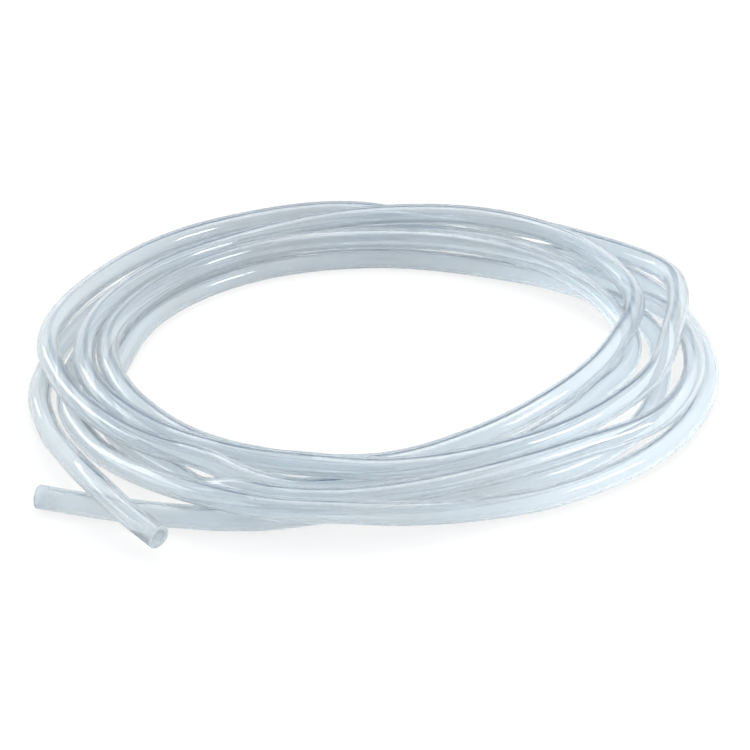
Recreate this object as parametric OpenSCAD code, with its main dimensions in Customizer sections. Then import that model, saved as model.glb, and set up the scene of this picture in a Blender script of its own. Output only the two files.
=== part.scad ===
// Coil of clear silicone laboratory tubing: one piece of soft tube, hollow from end to end, lying as it
// comes to rest. Six turns and a short tail at each end, wound by hand, so the turns cross each other.
// Millimetres. Z is up, the floor is z = 0, and the two open ends lie at the front left.

/* [Tube] */
// Outside diameter of the tube
tube_od = 9; // [8:0.5:10]
// Thickness of the tube's wall
wall = 1.5; // [1.1:0.1:2.2]
// Air left between two turns that lie on each other
strand_air = 0.2; // [0.1:0.1:0.6]

/* [Coil] */
// Radius that the turns' lanes are counted from, near the innermost turn
coil_radius = 101; // [96:1:120]

/* [Ends] */
// Straight length at the end that crosses over the other
upper_end = 13; // [8:1:20]
// Straight length at the end that lies on the floor
lower_end = 12; // [8:1:20]

/* [Hidden] */
$fn = 48;

// The tube's bore, and the step from one lane or level to the next
bore = tube_od - 2 * wall;
pitch = tube_od + strand_air;

// Sides of the tube's skin and of its bore along the turns, and degrees from one ring to the next
skin_sides = 12;
bore_sides = 6;
ring_step = 7.5;
// Each many-sided section has the area of the true circle
function round_up(sides) = sqrt(2 * PI / (sides * sin(360 / sides)));

// How the straight ends take hold of the turns: a short taper into the middle of the end's wall
taper = 1;
grip = 4;
end_start = 0.9 * taper;

// The route, one list for each turn. Each point is [degrees round, lane outward, level up], with lane and
// level in steps of one pitch. 0 is the left, 90 the back, 180 the right and 270 the front.
turn_1 = [
    [-58, 6.46, 0.65], [-49, 5.8, 1.08], [-38, 4.7, 0.6], [-25, 4.02, 0.05], [-12, 3.74, 0],
    [0, 3.32, 0], [30, 3.12, 0], [60, 3.38, 0], [90, 3.7, 0.1], [105, 4.45, 0.5], [120, 4.1, 1],
    [135, 4.33, 1.05], [150, 4.62, 1.18], [165, 3.35, 1.78], [180, 2.2, 1.7], [195, 1.6, 1.3],
    [210, 0.9, 1.1], [240, 0.4, 1.05], [270, 0.6, 1.05], [283, 0.46, 1.03], [293, 0.24, 0.78],
    [303, 0.25, 0.65], [315, 0.95, 0.9], [330, 1.5, 1.15]
];
turn_2 = [
    [0, 1.7, 1.1], [30, 1.6, 1.2], [60, 1.8, 1.2], [90, 1.85, 1.75], [120, 2.75, 1.75],
    [135, 2.9, 1.5], [150, 2.5, 1.1], [180, -0.2, 1.1], [210, -1.82, 0.8], [240, -2.3, 0.3],
    [270, -1.62, 0], [290, -1.2, 0], [303, -0.9, 0], [315, -0.1, 0.4], [330, 0.45, 0.9],
    [345, 0.6, 1.05]
];
turn_3 = [
    [0, 0.7, 1], [30, 0.6, 1], [60, 0.8, 1], [90, 0.75, 1], [120, 0.97, 1.03], [135, 1, 0.95],
    [150, 1.1, 0.55], [165, 1.03, 0], [180, 0.3, 0], [195, -0.78, 0], [210, -1.22, 0],
    [225, -1.27, 0], [240, -1.02, 0], [255, -0.5, 0], [270, 0.1, 0], [285, 0.78, 0],
    [295, 1.3, 0.4], [303, 1.65, 0.99], [312, 2.15, 1.12], [330, 2.5, 1.05], [345, 2.86, 1]
];
turn_4 = [
    [0, 3.36, 1.05], [30, 3.28, 1.2], [60, 3.7, 1.2], [90, 3.3, 1.3], [105, 3.3, 0.6],
    [120, 3.6, 0], [135, 4.4, 0], [150, 4.45, 0], [165, 4, 0], [180, 3.84, 0], [210, 3.38, 0],
    [240, 2.9, 0], [250, 2.85, 0.12], [265, 3.46, 0.62], [275, 3.96, 1], [285, 4.4, 1.15],
    [297, 4.15, 1.05], [312, 3.3, 0.4], [325, 2.95, 0], [340, 2.76, 0], [350, 2.45, 0]
];
turn_5 = [
    [0, 2.1, 0], [30, 1.8, 0], [60, 2, 0.2], [90, 2, 0.7], [120, 2.15, 0.8], [150, 3.1, 0.1],
    [165, 3.15, 0.64], [180, 3.1, 0.93], [195, 3.1, 0.95], [210, 2.85, 0.95], [230, 1.9, 1.05],
    [250, 1.9, 1.05], [265, 2.36, 0.95], [275, 2.86, 0.95], [285, 3.35, 1.08], [292, 3.05, 0.9],
    [300, 2.63, 0.25], [308, 1.94, 0], [315, 1.75, 0], [330, 1.58, 0], [345, 0.92, 0]
];
turn_6 = [
    [0, 0.3, 0], [30, 0.3, 0], [60, 0.52, 0], [90, 0.65, 0], [120, 0.94, 0], [135, 1.55, 0],
    [150, 2.05, 0], [165, 2.16, 0], [180, 1.78, 0], [195, 1.66, 0], [210, 1.68, 0],
    [225, 1.6, 0], [240, 1.42, 0], [255, 1.5, 0], [265, 1.6, 0], [275, 2, 0], [288, 3.45, 0],
    [300, 4.6, 0], [311, 5.85, 0], [314, 6.27, 0]
];
turns = [turn_1, turn_2, turn_3, turn_4, turn_5, turn_6];

// All points in one list, with the degrees counted on from turn to turn
keys = [for (k = [0:len(turns) - 1]) for (p = turns[k]) [p[0] + 360 * k, p[1], p[2]]];
last = len(keys) - 1;

// Slope at a point, for lane (c = 1) or level (c = 2), so that the curve runs smoothly through it
function rise(i, c) = (keys[i + 1][c] - keys[i][c]) / (keys[i + 1][0] - keys[i][0]);
function slope(i, c) =
    i == 0 ? rise(0, c)
    : i == last ? rise(last - 1, c)
    : let (before = keys[i][0] - keys[i - 1][0], after = keys[i + 1][0] - keys[i][0])
      (rise(i - 1, c) * after + rise(i, c) * before) / (before + after);

// Lane or level at q degrees, on the smooth curve between points i and i + 1
function smooth(i, q, c) =
    let (h = keys[i + 1][0] - keys[i][0], t = (q - keys[i][0]) / h)
    (2 * t ^ 3 - 3 * t ^ 2 + 1) * keys[i][c]
    + (t ^ 3 - 2 * t ^ 2 + t) * h * slope(i, c)
    + (3 * t ^ 2 - 2 * t ^ 3) * keys[i + 1][c]
    + (t ^ 3 - t ^ 2) * h * slope(i + 1, c);
function span_at(q) = len([for (i = [1:last - 1]) if (keys[i][0] <= q) 1]);

// The middle of the tube at q degrees
function spot(q) =
    let (i = span_at(q), r = coil_radius + pitch * smooth(i, q, 1))
    [-r * cos(q), r * sin(q), tube_od / 2 + pitch * max(0, smooth(i, q, 2))];

function unit(v) = v / norm(v);

// Rings of points along the turns, then the straight ends
first_deg = keys[0][0];
final_deg = keys[last][0];
rings = round((final_deg - first_deg) / ring_step);
turn_path = [for (k = [0:rings]) spot(first_deg + (final_deg - first_deg) * k / rings)];
upper_dir = unit(turn_path[0] - spot(first_deg + 1));
lower_dir = unit(turn_path[rings] - spot(final_deg - 1));
upper_mouth = turn_path[0] + upper_dir * (end_start + upper_end);
lower_mouth = turn_path[rings] + lower_dir * (end_start + lower_end);

// The part's middle stands over the origin
reach = concat(turn_path, [upper_mouth, lower_mouth]);
east = [for (p = reach) p[0]];
north = [for (p = reach) p[1]];
middle = [(min(east) + max(east)) / 2, (min(north) + max(north)) / 2, 0];

// The swept body: full section along the turns, thinned inside each straight end
full = [tube_od / 2 * round_up(skin_sides), bore / 2 * round_up(bore_sides)];
held = [tube_od / 2 - wall / 10, bore / 2 / cos(180 / bore_sides) + wall / 10];
body_path = concat(
    [turn_path[0] + upper_dir * grip, turn_path[0] + upper_dir * taper],
    turn_path,
    [turn_path[rings] + lower_dir * taper, turn_path[rings] + lower_dir * grip]
);
body_radii = concat([held, held], [for (k = [0:rings]) full], [held, held]);
count = len(body_path);

function heading(i) =
    i <= 2 ? -upper_dir
    : i >= count - 3 ? lower_dir
    : unit(unit(body_path[i + 1] - body_path[i]) + unit(body_path[i] - body_path[i - 1]));

// One ring of the section; its flat side is down
function ring(i, radius, sides) =
    let (side = unit(cross(heading(i), [0, 0, 1])), up = cross(side, heading(i)))
    [for (k = [0:sides - 1]) let (a = 360 * (k + 0.5) / sides)
        body_path[i] + radius * (side * cos(a) + up * sin(a))];

outer = [for (i = [0:count - 1]) each ring(i, body_radii[i][0], skin_sides)];
inner = [for (i = [0:count - 1]) each ring(i, body_radii[i][1], bore_sides)];

// Numbers of the points of the skin and of the bore
function out(i, k) = i * skin_sides + k % skin_sides;
function hole(i, k) = count * skin_sides + i * bore_sides + k % bore_sides;

outer_faces = [for (i = [0:count - 2]) for (k = [0:skin_sides - 1])
    each [[out(i, k), out(i, k + 1), out(i + 1, k)],
          [out(i, k + 1), out(i + 1, k + 1), out(i + 1, k)]]];
inner_faces = [for (i = [0:count - 2]) for (k = [0:bore_sides - 1])
    each [[hole(i, k), hole(i + 1, k), hole(i, k + 1)],
          [hole(i, k + 1), hole(i + 1, k), hole(i + 1, k + 1)]]];
// Each side of the bore meets two sides of the skin at the ends
function rim(i, k) = [
    [out(i, 2 * k), hole(i, k), out(i, 2 * k + 1)],
    [out(i, 2 * k + 1), hole(i, k), hole(i, k + 1)],
    [out(i, 2 * k + 1), hole(i, k + 1), out(i, 2 * k + 2)]
];
first_rim = [for (k = [0:bore_sides - 1]) each rim(0, k)];
final_rim = [for (k = [0:bore_sides - 1]) for (f = rim(count - 1, k)) [f[0], f[2], f[1]]];

module turns_body() {
    polyhedron(concat(outer, inner), concat(outer_faces, inner_faces, first_rim, final_rim), 4);
}

// A straight open end, from the last ring along the direction given
module straight_end(from, along, length) {
    translate(from + along * end_start)
        rotate([0, acos(along[2]), atan2(along[1], along[0])])
            difference() {
                cylinder(d = tube_od, h = length);
                translate([0, 0, -1])
                    cylinder(d = bore, h = length + 2);
            }
}

module tubing() {
    color([0.8, 0.85, 0.9])
        translate(-middle) {
            union() {
                turns_body();
                straight_end(turn_path[0], upper_dir, upper_end);
                straight_end(turn_path[rings], lower_dir, lower_end);
            }
        }
}

tubing();
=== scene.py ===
"""Coil of clear silicone laboratory tubing, lying on a pale floor in a soft white studio."""

import logging  # noqa: E402
import math  # noqa: E402
from dataclasses import dataclass, field  # noqa: E402
from enum import Enum  # noqa: E402
from typing import Any, Sequence  # noqa: E402

import bmesh  # noqa: E402
import bpy  # noqa: E402
from mathutils import Matrix, Vector  # noqa: E402


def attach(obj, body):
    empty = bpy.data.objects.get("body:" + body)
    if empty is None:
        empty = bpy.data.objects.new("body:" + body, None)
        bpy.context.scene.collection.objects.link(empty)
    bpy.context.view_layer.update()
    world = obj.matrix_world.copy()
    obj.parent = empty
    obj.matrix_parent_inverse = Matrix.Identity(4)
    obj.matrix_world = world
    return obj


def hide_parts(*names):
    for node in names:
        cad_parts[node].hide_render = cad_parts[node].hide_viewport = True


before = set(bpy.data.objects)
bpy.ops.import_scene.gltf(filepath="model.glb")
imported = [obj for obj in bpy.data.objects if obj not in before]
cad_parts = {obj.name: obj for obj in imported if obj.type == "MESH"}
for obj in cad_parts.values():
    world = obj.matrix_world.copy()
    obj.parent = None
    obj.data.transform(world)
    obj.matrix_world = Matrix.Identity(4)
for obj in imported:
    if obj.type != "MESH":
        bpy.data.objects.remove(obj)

logging.basicConfig(level=logging.INFO, format="%(message)s")
LOG = logging.getLogger("tubing_coil")
MM = 0.001
TAU = 2 * math.pi
Colour = tuple[float, float, float, float]
WHITE: Colour = (1.0, 1.0, 1.0, 1.0)


# Shader maths


class Term:
    """A shader socket that can be added, multiplied and compared like a number."""

    def __init__(self, shop: "MaterialShop", socket: Any) -> None:
        """Keep the socket and the node tree it belongs to."""
        self.shop = shop
        self.socket = socket

    def _maths(self, operation: str, *values: Any) -> "Term":
        """Add one Math node.

        Args:
            operation: the Math node's operation.
            values: its inputs, sockets or numbers.

        Returns:
            The result as a Term.
        """
        return self.shop.node(
            "ShaderNodeMath", {"operation": operation}, dict(enumerate(values))
        )

    def __add__(self, other: Any) -> "Term":
        """Sum."""
        return self._maths("ADD", self, other)

    __radd__ = __add__

    def __sub__(self, other: Any) -> "Term":
        """Difference."""
        return self._maths("SUBTRACT", self, other)

    def __rsub__(self, other: Any) -> "Term":
        """Difference, the other way round."""
        return self._maths("SUBTRACT", other, self)

    def __mul__(self, other: Any) -> "Term":
        """Product."""
        return self._maths("MULTIPLY", self, other)

    __rmul__ = __mul__

    def largest(self, other: Any) -> "Term":
        """The larger of the two."""
        return self._maths("MAXIMUM", self, other)

    def spread(self, low: float, high: float, to_low: float, to_high: float) -> "Term":
        """Map a range onto another, smoothly and without passing its ends.

        Args:
            low: start of the range read.
            high: end of the range read.
            to_low: result at the start.
            to_high: result at the end.

        Returns:
            The mapped value.
        """
        return self.shop.node(
            "ShaderNodeMapRange",
            {"interpolation_type": "SMOOTHSTEP", "clamp": True},
            {"Value": self, "From Min": low, "From Max": high, "To Min": to_low, "To Max": to_high},
        )


class MaterialShop:
    """Adds and links the nodes of one material or world."""

    def __init__(self, tree: bpy.types.NodeTree) -> None:
        """Start from an empty tree."""
        self.tree = tree
        self.tree.nodes.clear()

    def node(self, kind: str, settings: dict[str, Any], values: dict[Any, Any], out: Any = 0) -> Term:
        """Add any node.

        Args:
            kind: the node's type.
            settings: properties set before the sockets.
            values: the value or link of each named or numbered input.
            out: name or number of the output returned.

        Returns:
            The chosen output as a Term.
        """
        made = self.tree.nodes.new(kind)
        for name, value in settings.items():
            if name == "stops":
                ramp = made.color_ramp
                while len(ramp.elements) < len(value):
                    ramp.elements.new(0.5)
                for element, (place, colour) in zip(ramp.elements, value):
                    element.position = place
                    element.color = colour
            else:
                setattr(made, name, value)
        for name, value in values.items():
            if isinstance(value, Term):
                self.tree.links.new(value.socket, made.inputs[name])
            else:
                made.inputs[name].default_value = value
        return Term(self, made.outputs[out] if len(made.outputs) else None)

    def blend(self, share: Any, first: Any, second: Any) -> Term:
        """Mix two colours.

        Args:
            share: how much of the second colour, 0 to 1.
            first: the colour at 0.
            second: the colour at 1.

        Returns:
            The mixed colour.
        """
        return self.node(
            "ShaderNodeMix",
            {"data_type": "RGBA"},
            {"Factor": share, 6: first, 7: second},
            out=2,
        )


# The tube's route


class Turn(Enum):
    """The six turns, each as (degrees round, lane outward, level up) points in steps of one pitch."""

    FIRST = (
        (-58, 6.46, 0.65), (-49, 5.8, 1.08), (-38, 4.7, 0.6), (-25, 4.02, 0.05), (-12, 3.74, 0),
        (0, 3.32, 0), (30, 3.12, 0), (60, 3.38, 0), (90, 3.7, 0.1), (105, 4.45, 0.5), (120, 4.1, 1),
        (135, 4.33, 1.05), (150, 4.62, 1.18), (165, 3.35, 1.78), (180, 2.2, 1.7), (195, 1.6, 1.3),
        (210, 0.9, 1.1), (240, 0.4, 1.05), (270, 0.6, 1.05), (283, 0.46, 1.03), (293, 0.24, 0.78),
        (303, 0.25, 0.65), (315, 0.95, 0.9), (330, 1.5, 1.15),
    )
    SECOND = (
        (0, 1.7, 1.1), (30, 1.6, 1.2), (60, 1.8, 1.2), (90, 1.85, 1.75), (120, 2.75, 1.75),
        (135, 2.9, 1.5), (150, 2.5, 1.1), (180, -0.2, 1.1), (210, -1.82, 0.8), (240, -2.3, 0.3),
        (270, -1.62, 0), (290, -1.2, 0), (303, -0.9, 0), (315, -0.1, 0.4), (330, 0.45, 0.9),
        (345, 0.6, 1.05),
    )
    THIRD = (
        (0, 0.7, 1), (30, 0.6, 1), (60, 0.8, 1), (90, 0.75, 1), (120, 0.97, 1.03), (135, 1, 0.95),
        (150, 1.1, 0.55), (165, 1.03, 0), (180, 0.3, 0), (195, -0.78, 0), (210, -1.22, 0),
        (225, -1.27, 0), (240, -1.02, 0), (255, -0.5, 0), (270, 0.1, 0), (285, 0.78, 0),
        (295, 1.3, 0.4), (303, 1.65, 0.99), (312, 2.15, 1.12), (330, 2.5, 1.05), (345, 2.86, 1),
    )
    FOURTH = (
        (0, 3.36, 1.05), (30, 3.28, 1.2), (60, 3.7, 1.2), (90, 3.3, 1.3), (105, 3.3, 0.6),
        (120, 3.6, 0), (135, 4.4, 0), (150, 4.45, 0), (165, 4, 0), (180, 3.84, 0), (210, 3.38, 0),
        (240, 2.9, 0), (250, 2.85, 0.12), (265, 3.46, 0.62), (275, 3.96, 1), (285, 4.4, 1.15),
        (297, 4.15, 1.05), (312, 3.3, 0.4), (325, 2.95, 0), (340, 2.76, 0), (350, 2.45, 0),
    )
    FIFTH = (
        (0, 2.1, 0), (30, 1.8, 0), (60, 2, 0.2), (90, 2, 0.7), (120, 2.15, 0.8), (150, 3.1, 0.1),
        (165, 3.15, 0.64), (180, 3.1, 0.93), (195, 3.1, 0.95), (210, 2.85, 0.95), (230, 1.9, 1.05),
        (250, 1.9, 1.05), (265, 2.36, 0.95), (275, 2.86, 0.95), (285, 3.35, 1.08), (292, 3.05, 0.9),
        (300, 2.63, 0.25), (308, 1.94, 0), (315, 1.75, 0), (330, 1.58, 0), (345, 0.92, 0),
    )
    SIXTH = (
        (0, 0.3, 0), (30, 0.3, 0), (60, 0.52, 0), (90, 0.65, 0), (120, 0.94, 0), (135, 1.55, 0),
        (150, 2.05, 0), (165, 2.16, 0), (180, 1.78, 0), (195, 1.66, 0), (210, 1.68, 0),
        (225, 1.6, 0), (240, 1.42, 0), (255, 1.5, 0), (265, 1.6, 0), (275, 2, 0), (288, 3.45, 0),
        (300, 4.6, 0), (311, 5.85, 0), (314, 6.27, 0),
    )


@dataclass
class TubeRoute:
    """Where the middle of the tube runs, in metres, with the part's middle over the origin."""

    diameter: float = 9 * MM
    air: float = 0.2 * MM
    coil_radius: float = 101 * MM
    upper_end: float = 13.9 * MM
    lower_end: float = 12.9 * MM
    cad_step: float = 7.5
    keys: list[tuple[float, float, float]] = field(init=False)
    middle: Vector = field(init=False)

    def __post_init__(self) -> None:
        """Join the turns into one list and find the part's middle."""
        self.keys = [
            (degrees + 360 * turn, lane, level)
            for turn, points in enumerate(Turn)
            for degrees, lane, level in points.value
        ]
        self.middle = Vector((0, 0, 0))
        reach = self.points(self.cad_step)
        self.middle = Vector((
            (min(p.x for p in reach) + max(p.x for p in reach)) / 2,
            (min(p.y for p in reach) + max(p.y for p in reach)) / 2,
            0,
        ))

    def _rise(self, index: int, column: int) -> float:
        """Slope of the straight line from point index to the next."""
        here, after = self.keys[index], self.keys[index + 1]
        return (after[column] - here[column]) / (after[0] - here[0])

    def _slope(self, index: int, column: int) -> float:
        """Slope of the smooth curve at point index.

        Args:
            index: number of the point.
            column: 1 for the lane, 2 for the level.

        Returns:
            Steps for each degree.
        """
        if index == 0:
            return self._rise(0, column)
        if index == len(self.keys) - 1:
            return self._rise(index - 1, column)
        before = self.keys[index][0] - self.keys[index - 1][0]
        after = self.keys[index + 1][0] - self.keys[index][0]
        rise_before, rise_after = self._rise(index - 1, column), self._rise(index, column)
        return (rise_before * after + rise_after * before) / (before + after)

    def _smooth(self, index: int, degrees: float, column: int) -> float:
        """Lane or level between point index and the next.

        Args:
            index: number of the point before.
            degrees: the place round the coil.
            column: 1 for the lane, 2 for the level.

        Returns:
            The lane or level in steps of one pitch.
        """
        here, after = self.keys[index], self.keys[index + 1]
        span = after[0] - here[0]
        t = (degrees - here[0]) / span
        return (
            (2 * t**3 - 3 * t**2 + 1) * here[column]
            + (t**3 - 2 * t**2 + t) * span * self._slope(index, column)
            + (3 * t**2 - 2 * t**3) * after[column]
            + (t**3 - t**2) * span * self._slope(index + 1, column)
        )

    def spot(self, degrees: float) -> Vector:
        """The middle of the tube at some degrees round, counted on from turn to turn."""
        index = sum(1 for key in self.keys[1:-1] if key[0] <= degrees)
        pitch = self.diameter + self.air
        radius = self.coil_radius + pitch * self._smooth(index, degrees, 1)
        height = self.diameter / 2 + pitch * max(0.0, self._smooth(index, degrees, 2))
        angle = math.radians(degrees)
        return Vector((-radius * math.cos(angle), radius * math.sin(angle), height)) - self.middle

    def points(self, step: float) -> list[Vector]:
        """Points from mouth to mouth.

        Args:
            step: degrees from one point to the next.

        Returns:
            The upper mouth, the points of the turns, and the lower mouth.
        """
        first, final = self.keys[0][0], self.keys[-1][0]
        count = round((final - first) / step)
        path = [self.spot(first + (final - first) * k / count) for k in range(count + 1)]
        upper = (path[0] - self.spot(first + 1)).normalized()
        lower = (path[-1] - self.spot(final - 1)).normalized()
        return [path[0] + upper * self.upper_end, *path, path[-1] + lower * self.lower_end]


# Finishes


@dataclass(frozen=True)
class ClearSilicone:
    """Clear soft silicone with a faint blue tint, glossy, with faint frosting and lengthwise draw marks."""

    tint: Colour = (0.93, 0.97, 1.0, 1.0)
    frosted_tint: Colour = (0.91, 0.93, 0.94, 1.0)
    cut_tint: Colour = (0.60, 0.66, 0.70, 1.0)
    clearness: float = 0.89
    refraction: float = 1.41
    smooth_roughness: float = 0.015
    frosted_roughness: float = 0.045
    mark_roughness: float = 0.02
    cut_roughness: float = 0.4
    frost_relief: float = 0.002
    frost_depth: float = 0.3 * MM
    cloud_scale: float = 26.0
    cloud_fade: tuple[float, float] = (0.35, 0.75)
    cloud_share: float = 0.6
    grain_scale: float = 420.0
    mark_stretch: tuple[float, float, float] = (26.0, 2.2, 1.0)
    mark_fade: tuple[float, float] = (0.45, 0.75)
    cut_reach: tuple[float, float] = (0.1 * MM, 0.4 * MM)
    cut_haze: float = 0.6
    end_haze: float = 0.28
    haze_reach: float = 15 * MM

    @staticmethod
    def _noise(shop: MaterialShop, place: Term, scale: float, detail: float, roughness: float) -> Term:
        """Add a noise pattern.

        Args:
            shop: the material's nodes.
            place: what the pattern runs over.
            scale: patches in one unit of place.
            detail: levels of finer patches.
            roughness: strength of the finer patches.

        Returns:
            The pattern, about 0 to 1.
        """
        values = {"Vector": place, "Scale": scale, "Detail": detail, "Roughness": roughness}
        return shop.node("ShaderNodeTexNoise", {}, values)

    def _at_ends(self, run: Term, length: float, full: float, none: float, most: float) -> Term:
        """Make a mask that is strongest at both ends of the tube.

        Args:
            run: the distance along the tube.
            length: the tube's length.
            full: distance from an end up to which the mask is full.
            none: distance from an end where it has gone.
            most: the full value.

        Returns:
            The mask.
        """
        return run.spread(full, none, most, 0.0) + run.spread(length - none, length - full, 0.0, most)

    def make(self, name: str, length: float) -> bpy.types.Material:
        """Build the material.

        Args:
            name: the material's name.
            length: length of the tube, in metres, which its map runs along.

        Returns:
            The finished material.
        """
        material = bpy.data.materials.new(name)
        material.use_nodes = True
        shop = MaterialShop(material.node_tree)
        place = shop.node("ShaderNodeTexCoord", {}, {}, out="Object")
        along = shop.node("ShaderNodeTexCoord", {}, {}, out="UV")
        run = shop.node("ShaderNodeSeparateXYZ", {}, {"Vector": along}, out="Y")
        stretched = shop.node("ShaderNodeMapping", {}, {"Vector": along, "Scale": self.mark_stretch})

        clouds = self._noise(shop, place, self.cloud_scale, 4.0, 0.6)
        grain = self._noise(shop, place, self.grain_scale, 3.0, 0.55)
        draw_marks = self._noise(shop, stretched, 1.0, 3.0, 0.5)
        frost = clouds.spread(*self.cloud_fade, 0.0, self.cloud_share)
        frost = frost + grain.spread(*self.cloud_fade, 0.0, 1.0 - self.cloud_share)
        rough = self.smooth_roughness + frost * (self.frosted_roughness - self.smooth_roughness)
        rough = rough + draw_marks.spread(*self.mark_fade, 0.0, self.mark_roughness)
        relief = shop.node(
            "ShaderNodeBump",
            {},
            {"Strength": self.frost_relief, "Distance": self.frost_depth, "Height": grain * frost},
        )
        cut_face = self._at_ends(run, length, *self.cut_reach, self.cut_haze)
        haze = self._at_ends(run, length, 0.0, self.haze_reach, self.end_haze).largest(cut_face)

        clear = shop.node(
            "ShaderNodeBsdfPrincipled",
            {},
            {
                "Base Color": shop.blend(frost, self.tint, self.frosted_tint),
                "Roughness": rough,
                "Normal": relief,
                "IOR": self.refraction,
                "Transmission Weight": self.clearness,
            },
        )
        matt = shop.node(
            "ShaderNodeBsdfPrincipled",
            {},
            {
                "Base Color": shop.blend(frost, self.cut_tint, self.tint),
                "Roughness": rough + self.cut_roughness,
                "IOR": self.refraction,
            },
        )
        surface = shop.node("ShaderNodeMixShader", {}, {"Fac": haze, 1: clear, 2: matt})
        shop.node("ShaderNodeOutputMaterial", {}, {"Surface": surface})
        return material


@dataclass(frozen=True)
class PaleFloor:
    """White with a faint shadow to the camera; to rays the tube bends or mirrors, it glows with painted
    shade and light set by place: darker at the front, darkest at the back, lighter at the left and brighter
    than white at the right.
    """

    cloth: Colour = (0.86, 0.86, 0.86, 1.0)
    # Glow colours of painted shade and light, seen only through the tube and in its reflections: front
    # darker and back darkest as painted shade under the coil, left lighter, right brighter than white as
    # painted light.
    front: Colour = (0.64, 0.70, 0.73, 1.0)
    back: Colour = (0.46, 0.50, 0.53, 1.0)
    left: Colour = (0.80, 0.84, 0.86, 1.0)
    right: Colour = (1.04, 1.12, 1.18, 1.0)
    back_reach: tuple[float, float] = (0.02, 0.16)
    left_reach: tuple[float, float] = (-0.155, -0.05)
    right_reach: tuple[float, float] = (0.01, 0.10)
    back_hold: float = 0.6
    glow: float = 0.8

    def make(self, name: str) -> bpy.types.Material:
        """Build the material.

        Args:
            name: the material's name.

        Returns:
            The finished material.
        """
        material = bpy.data.materials.new(name)
        material.use_nodes = True
        shop = MaterialShop(material.node_tree)
        seen = shop.node("ShaderNodeLightPath", {}, {}, out="Is Camera Ray")
        bent = shop.node("ShaderNodeLightPath", {}, {}, out="Is Transmission Ray")
        mirrored = shop.node("ShaderNodeLightPath", {}, {}, out="Is Glossy Ray")
        through = bent.largest(mirrored)
        place = shop.node("ShaderNodeTexCoord", {}, {}, out="Object")
        across = shop.node("ShaderNodeSeparateXYZ", {}, {"Vector": place}, out="X")
        inward = shop.node("ShaderNodeSeparateXYZ", {}, {"Vector": place}, out="Y")

        at_back = inward.spread(*self.back_reach, 0.0, 1.0)
        at_left = across.spread(*self.left_reach, 1.0, 0.0)
        at_right = across.spread(*self.right_reach, 0.0, 1.0) * (1.0 - at_back * self.back_hold)
        # Painted shade and light: the floor's glow colour under the tube, chosen by place.
        painted_shade_and_light = shop.blend(at_back, self.front, self.back)
        painted_shade_and_light = shop.blend(at_left, painted_shade_and_light, self.left)
        painted_shade_and_light = shop.blend(at_right, painted_shade_and_light, self.right)

        matt = shop.node("ShaderNodeBsdfDiffuse", {}, {"Color": self.cloth})
        # Glows white to the camera, and with the painted shade and light to rays that pass through or
        # mirror off the tube.
        shine = shop.node(
            "ShaderNodeEmission", {}, {"Color": shop.blend(through, WHITE, painted_shade_and_light), "Strength": 1.0}
        )
        share = (seen * self.glow).largest(through)
        surface = shop.node("ShaderNodeMixShader", {}, {"Fac": share, 1: matt, 2: shine})
        shop.node("ShaderNodeOutputMaterial", {}, {"Surface": surface})
        return material


# The tube


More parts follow.
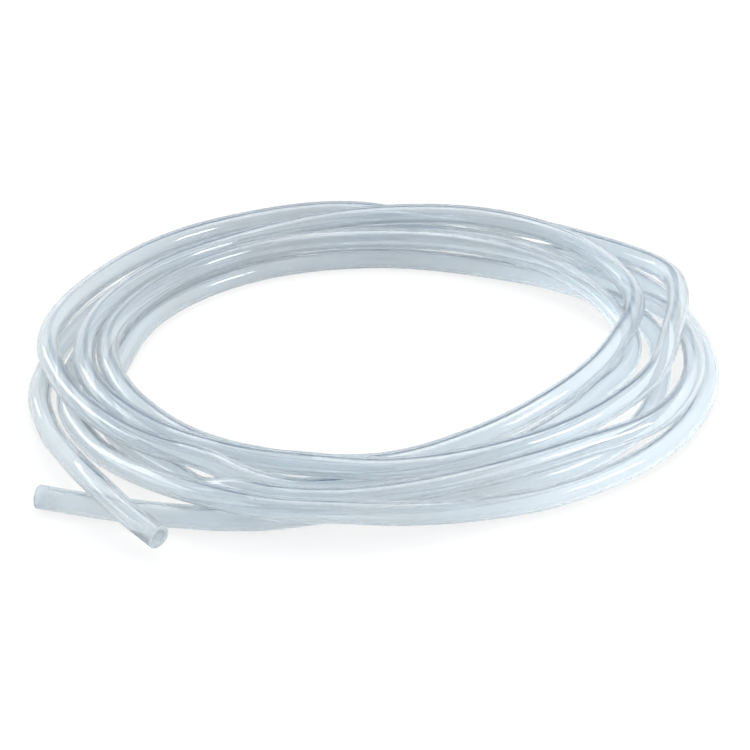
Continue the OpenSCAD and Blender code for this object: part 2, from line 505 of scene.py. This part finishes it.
@dataclass
class TubingCoil:
    """The one piece: a hollow soft tube from open end to open end."""

    route: TubeRoute
    wall: float = 1.5 * MM
    sides: int = 40
    ring_step: float = 2.2
    cut_edge: float = 0.18 * MM
    finish: ClearSilicone = field(default_factory=ClearSilicone)

    @property
    def outside(self) -> float:
        """Outside diameter, which the route's turns are spaced by."""
        return self.route.diameter

    def _stations(self) -> tuple[list[Vector], list[Matrix], list[float]]:
        """Work out the frame of each ring.

        Returns:
            The points followed, a placing matrix for each ring, and its distance along the tube.
        """
        points = self.route.points(self.ring_step)
        frames: list[Matrix] = []
        along: list[float] = []
        run = 0.0
        for index, point in enumerate(points):
            before = points[max(0, index - 1)]
            after = points[min(len(points) - 1, index + 1)]
            heading = (after - before).normalized()
            if 0 < index < len(points) - 1:
                heading = ((after - point).normalized() + (point - before).normalized()).normalized()
            side = heading.cross(Vector((0, 0, 1))).normalized()
            up = side.cross(heading)
            matrix = Matrix((side, up, heading)).transposed().to_4x4()
            matrix.translation = point
            run += (point - before).length
            frames.append(matrix)
            along.append(run)
        return points, frames, along

    @staticmethod
    def _sweep(radius: float, sides: int, points: Sequence[Vector]) -> bpy.types.Mesh:
        """Run a round section along the points.

        Args:
            radius: radius of the section.
            sides: number of its points.
            points: where its middle runs.

        Returns:
            A mesh open at both ends, its points ring by ring.
        """
        curve = bpy.data.curves.new("sweep", "CURVE")
        curve.dimensions = "3D"
        curve.twist_mode = "Z_UP"
        curve.bevel_depth = radius
        curve.bevel_resolution = (sides - 4) // 2
        spline = curve.splines.new("POLY")
        spline.points.add(len(points) - 1)
        for node, point in zip(spline.points, points):
            node.co = (*point, 1.0)
        holder = bpy.data.objects.new("sweep", curve)
        mesh = bpy.data.meshes.new_from_object(holder)
        bpy.data.objects.remove(holder)
        bpy.data.curves.remove(curve)
        return mesh

    def _unwrap(
        self, bm: bmesh.types.BMesh, rings: Sequence[Sequence[bmesh.types.BMVert]],
        frames: Sequence[Matrix], along: Sequence[float],
    ) -> None:
        """Give the faces a map: once round from the underside, and metres along.

        Args:
            bm: the mesh.
            rings: points of each ring.
            frames: placing matrix of each ring.
            along: distance along the tube of each ring.
        """
        layer = bm.loops.layers.uv.verify()
        spot: dict[bmesh.types.BMVert, tuple[float, float]] = {}
        for ring, matrix, run in zip(rings, frames, along):
            back = matrix.inverted()
            for vert in ring:
                local = back @ vert.co
                spot[vert] = ((math.atan2(local.x, -local.y) / TAU) % 1.0, run)
        for face in bm.faces:
            rounds = [spot[loop.vert][0] for loop in face.loops if loop.vert in spot]
            wraps = bool(rounds) and max(rounds) - min(rounds) > 0.5
            for loop in face.loops:
                if loop.vert in spot:
                    around, run = spot[loop.vert]
                    loop[layer].uv = (around + 1.0 if wraps and around < 0.5 else around, run)

    def build(self) -> bpy.types.Object:
        """Build and dress the tube.

        Returns:
            The finished piece.
        """
        points, frames, along = self._stations()
        bm = bmesh.new()
        for radius in (self.outside / 2, self.outside / 2 - self.wall):
            swept = self._sweep(radius, self.sides, points)
            bm.from_mesh(swept)
            bpy.data.meshes.remove(swept)
        bm.verts.ensure_lookup_table()
        rings = [bm.verts[first:first + self.sides] for first in range(0, len(bm.verts), self.sides)]
        count = len(points)
        rims: list[bmesh.types.BMEdge] = []
        for skin, bore in ((rings[0], rings[count]), (rings[count - 1], rings[-1])):
            for side in range(self.sides):
                after = (side + 1) % self.sides
                bm.faces.new((skin[side], skin[after], bore[after], bore[side]))
                rims += [bm.edges.get((ring[side], ring[after])) for ring in (skin, bore)]
        bmesh.ops.recalc_face_normals(bm, faces=bm.faces[:])
        self._unwrap(bm, rings, [*frames, *frames], [*along, *along])
        bmesh.ops.bevel(
            bm, geom=rims, offset=self.cut_edge, offset_type="OFFSET", affect="EDGES", segments=3,
            profile=0.5, material=-1,
        )
        mesh = bpy.data.meshes.new("clear_tube")
        bm.to_mesh(mesh)
        bm.free()
        mesh.shade_smooth()
        piece = bpy.data.objects.new("clear_tube", mesh)
        bpy.context.scene.collection.objects.link(piece)
        length = along[-1]
        mesh.materials.append(self.finish.make("clear_silicone", length))
        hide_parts("tubing")
        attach(piece, "root")
        LOG.info("clear_tube: %.3f m long, %d faces", length, len(mesh.polygons))
        return piece


# The studio


@dataclass(frozen=True)
class Surroundings:
    """White to the camera, with a dark blue card front and back for what the tube bends and mirrors."""

    low_wall: Colour = (0.85, 0.91, 0.96, 1.0)
    side_wall: Colour = (0.93, 0.97, 1.0, 1.0)
    card: Colour = (0.0, 0.08, 0.18, 1.0)
    card_rise: tuple[float, float] = (0.02, 0.08)
    card_fall: tuple[float, float] = (0.54, 0.64)
    card_side: tuple[float, float] = (0.006, 0.05)

    def make(self, name: str) -> bpy.types.World:
        """Build the world.

        Args:
            name: the world's name.

        Returns:
            The finished world.
        """
        world = bpy.data.worlds.new(name)
        world.use_nodes = True
        shop = MaterialShop(world.node_tree)
        seen = shop.node("ShaderNodeLightPath", {}, {}, out="Is Camera Ray")
        heading = shop.node("ShaderNodeTexCoord", {}, {}, out="Generated")
        height = shop.node("ShaderNodeSeparateXYZ", {}, {"Vector": heading}, out="Z")
        across = shop.node("ShaderNodeSeparateXYZ", {}, {"Vector": heading}, out="X")
        stops = [
            (0.0, self.low_wall), (self.card_rise[0], self.low_wall), (self.card_rise[1], self.card),
            (self.card_fall[0], self.card), (self.card_fall[1], WHITE),
        ]
        walls = shop.node("ShaderNodeValToRGB", {"stops": stops}, {"Fac": height})
        beside = (across * across).spread(*self.card_side, 0.0, 1.0)
        walls = shop.blend(beside, walls, self.side_wall)
        sky = shop.node(
            "ShaderNodeBackground", {}, {"Color": shop.blend(seen, walls, WHITE), "Strength": 1.0}
        )
        shop.node("ShaderNodeOutputWorld", {}, {"Surface": sky})
        return world


@dataclass(frozen=True)
class Lamp:
    """One soft lamp: its name, where it hangs and its two sides in metres, and its power in watts."""

    name: str
    place: tuple[float, float, float]
    size: tuple[float, float]
    watts: float

    def hang(self, aim: Vector) -> None:
        """Hang the lamp.

        Args:
            aim: the point that it faces.
        """
        data = bpy.data.lights.new(self.name, "AREA")
        data.shape = "RECTANGLE"
        data.size, data.size_y = self.size
        data.energy = self.watts
        lamp = bpy.data.objects.new(self.name, data)
        bpy.context.scene.collection.objects.link(lamp)
        lamp.location = self.place
        lamp.rotation_euler = (aim - Vector(self.place)).to_track_quat("-Z", "Y").to_euler()


@dataclass
class Studio:
    """Camera, surroundings, floor, a broad lamp above, a long one at the left and a small one at right."""

    centre: Vector
    distance: float = 966 * MM
    elevation: float = 26.5
    focal_pixels: float = 2362.5
    picture: int = 750
    shift_pixels: tuple[float, float] = (2.0, -1.5)
    sensor: float = 36.0
    floor_size: float = 8.0
    floor_drop: float = 0.2 * MM
    lamps: tuple[Lamp, ...] = (
        Lamp("top_lamp", (0.1, 0.35, 1.3), (1.0, 0.7), 8.0),
        Lamp("left_lamp", (-1.3, 0.45, 0.59), (1.8, 0.35), 6.5),
        Lamp("right_lamp", (1.3, -0.27, 0.66), (0.6, 0.3), 7.0),
    )

    def camera(self) -> None:
        """Set the camera at the photograph's viewing angle."""
        angle = math.radians(self.elevation)
        data = bpy.data.cameras.new("camera")
        data.sensor_width = self.sensor
        data.lens = self.sensor * self.focal_pixels / self.picture
        data.shift_x, data.shift_y = (shift / self.picture for shift in self.shift_pixels)
        data.clip_start = 0.01
        camera = bpy.data.objects.new("camera", data)
        bpy.context.scene.collection.objects.link(camera)
        camera.location = self.centre + self.distance * Vector((0, -math.cos(angle), math.sin(angle)))
        camera.rotation_euler = (math.radians(90 - self.elevation), 0, 0)
        bpy.context.scene.camera = camera

    def floor(self) -> None:
        """Lay the floor just under the coil."""
        bm = bmesh.new()
        bmesh.ops.create_grid(bm, x_segments=1, y_segments=1, size=self.floor_size / 2)
        mesh = bpy.data.meshes.new("floor")
        bm.to_mesh(mesh)
        bm.free()
        mesh.materials.append(PaleFloor().make("pale_floor"))
        floor = bpy.data.objects.new("floor", mesh)
        bpy.context.scene.collection.objects.link(floor)
        floor.location.z = -self.floor_drop

    def build(self) -> None:
        """Set up the whole studio."""
        self.camera()
        bpy.context.scene.world = Surroundings().make("studio")
        self.floor()
        for lamp in self.lamps:
            lamp.hang(self.centre)
        LOG.info("studio: %d lamps", len(self.lamps))


def main() -> None:
    """Build everything in order."""
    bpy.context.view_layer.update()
    bpy.context.scene.view_settings.view_transform = "Standard"
    route = TubeRoute()
    TubingCoil(route).build()
    Studio(centre=-route.middle).build()


if __name__ == "__main__":
    main()
